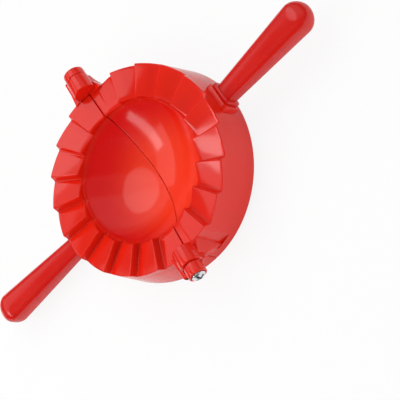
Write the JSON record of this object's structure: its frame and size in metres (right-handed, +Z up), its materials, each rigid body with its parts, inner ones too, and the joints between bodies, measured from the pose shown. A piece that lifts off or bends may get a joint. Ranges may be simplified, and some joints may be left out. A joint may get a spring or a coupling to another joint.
{
  "type": "empanada press",
  "caption": "Hinged kitchen press for half-moon pastries: two half bowls with a pleated sealing rim, a deep cutting skirt and a handle on each half.",
  "frame": {"origin": "on the table, midway between the two ends of the hinge", "axes": "+X from the flat left half to the raised right half, +Y along the hinge to the closed knuckle, +Z up"},
  "size_m": [0.2288, 0.1328, 0.0328],
  "materials": {
    "half_plastic": "glossy",
    "handle_plastic": "glossy",
    "screw_steel": "bright plated"
  },
  "bodies": {
    "left": {"left_half": "half_plastic", "left_handle": "handle_plastic"},
    "right": {"right_half": "half_plastic", "right_handle": "handle_plastic", "hinge_screw": "screw_steel"}
  },
  "joints": [
    {"name": "hinge", "type": "hinge", "parent": "left", "child": "right", "pos_m": [0, 0, 0.027], "axis": [0, -1, 0], "range_deg": [0, 180]}
  ]
}
